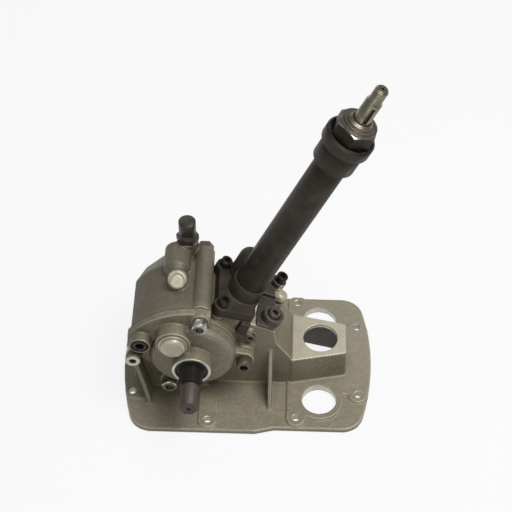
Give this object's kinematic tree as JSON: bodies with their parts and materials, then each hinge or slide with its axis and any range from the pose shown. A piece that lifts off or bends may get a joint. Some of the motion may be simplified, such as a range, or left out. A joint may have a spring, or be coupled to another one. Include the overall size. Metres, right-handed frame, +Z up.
{
  "type": "steering gearbox",
  "caption": "Recirculating-ball steering gearbox cast in one with a transmission cover plate and lever tower, with a leaning column tube, wheel shaft and serrated cross shaft.",
  "frame": {"origin": "centre of the plate's length on its underside, in the plane of the steering column", "axes": "+Z up, +X along the plate from the gear housing towards the lever holes, -Y towards the end of the cross shaft"},
  "size_m": [0.4, 0.3176, 0.6097],
  "materials": {
    "cast": "as cast, grey-tan",
    "machined": "machined",
    "black_paint": "black paint, worn brown at the edges",
    "zinc": "bright zinc",
    "steel": "ground",
    "dark_steel": "phosphated",
    "bronze": "bush bronze",
    "rubber": "moulded",
    "gasket": "gasket sheet"
  },
  "bodies": {
    "housing": {"housing": "cast", "sector_cover": "cast", "cover_gasket": "gasket", "cover_screws": "zinc", "through_nut": "zinc", "cover_plug": "machined", "front_bush": "bronze", "rear_bush": "bronze", "sector_seal": "rubber", "rear_cap": "steel", "adjuster_screw": "steel", "adjuster_nut": "zinc", "filler_plug": "machined", "breather": "dark_steel", "column_flange": "black_paint", "flange_gasket": "gasket", "flange_bolts": "dark_steel", "column_tube": "black_paint", "lower_collar": "black_paint", "bearing_cup": "black_paint", "column_cap": "dark_steel", "cup_circlip": "steel", "seat_bar": "cast", "bearing_retainer": "steel", "lower_outer_race": "steel", "upper_outer_race": "steel", "cup_outer_race": "steel"},
    "steering_shaft": {"steering_shaft": "steel", "worm_shaft": "steel", "coupling_pin": "steel", "lower_inner_race": "steel", "upper_inner_race": "steel", "cup_inner_race": "steel"},
    "ball_nut": {"ball_nut": "dark_steel", "nut_balls": "steel", "return_tubes": "steel", "tube_clamp": "steel", "clamp_screw": "steel"},
    "sector_shaft": {"sector_shaft": "dark_steel"},
    "lower_balls": {"lower_balls": "steel"},
    "upper_balls": {"upper_balls": "steel"},
    "cup_balls": {"cup_balls": "steel"}
  },
  "joints": [
    {"name": "steering_shaft_turn", "type": "hinge", "parent": "housing", "child": "steering_shaft", "pos_m": [-0.0437, 0, 0.094], "axis": [0.4019, 0, 0.9157], "range_deg": [-626.75, 626.75]},
    {"name": "ball_nut_travel", "type": "slide", "parent": "housing", "child": "ball_nut", "axis": [0.4019, 0, 0.9157], "range_m": [-0.01462, 0.01462]},
    {"name": "sector_shaft_swing", "type": "hinge", "parent": "housing", "child": "sector_shaft", "pos_m": [-0.08346, 0, 0.11145], "axis": [0, 1, 0], "range_deg": [-39.9, 39.9]},
    {"name": "lower_bearing_balls", "type": "hinge", "parent": "housing", "child": "lower_balls", "pos_m": [-0.0437, 0, 0.094], "axis": [0.4019, 0, 0.9157], "range_deg": [-249.38, 249.38]},
    {"name": "upper_bearing_balls", "type": "hinge", "parent": "housing", "child": "upper_balls", "pos_m": [-0.0437, 0, 0.094], "axis": [0.4019, 0, 0.9157], "range_deg": [-249.48, 249.48]},
    {"name": "head_bearing_balls", "type": "hinge", "parent": "housing", "child": "cup_balls", "pos_m": [-0.0437, 0, 0.094], "axis": [0.4019, 0, 0.9157], "range_deg": [-259.82, 259.82]}
  ],
  "couplings": [
    {"joint": "ball_nut_travel", "follows": "steering_shaft_turn", "m_per_rad": -0.0012732},
    {"joint": "sector_shaft_swing", "follows": "steering_shaft_turn", "ratio": 0.06063},
    {"joint": "lower_bearing_balls", "follows": "steering_shaft_turn", "ratio": 0.37895},
    {"joint": "upper_bearing_balls", "follows": "steering_shaft_turn", "ratio": 0.3791},
    {"joint": "head_bearing_balls", "follows": "steering_shaft_turn", "ratio": 0.39481}
  ]
}
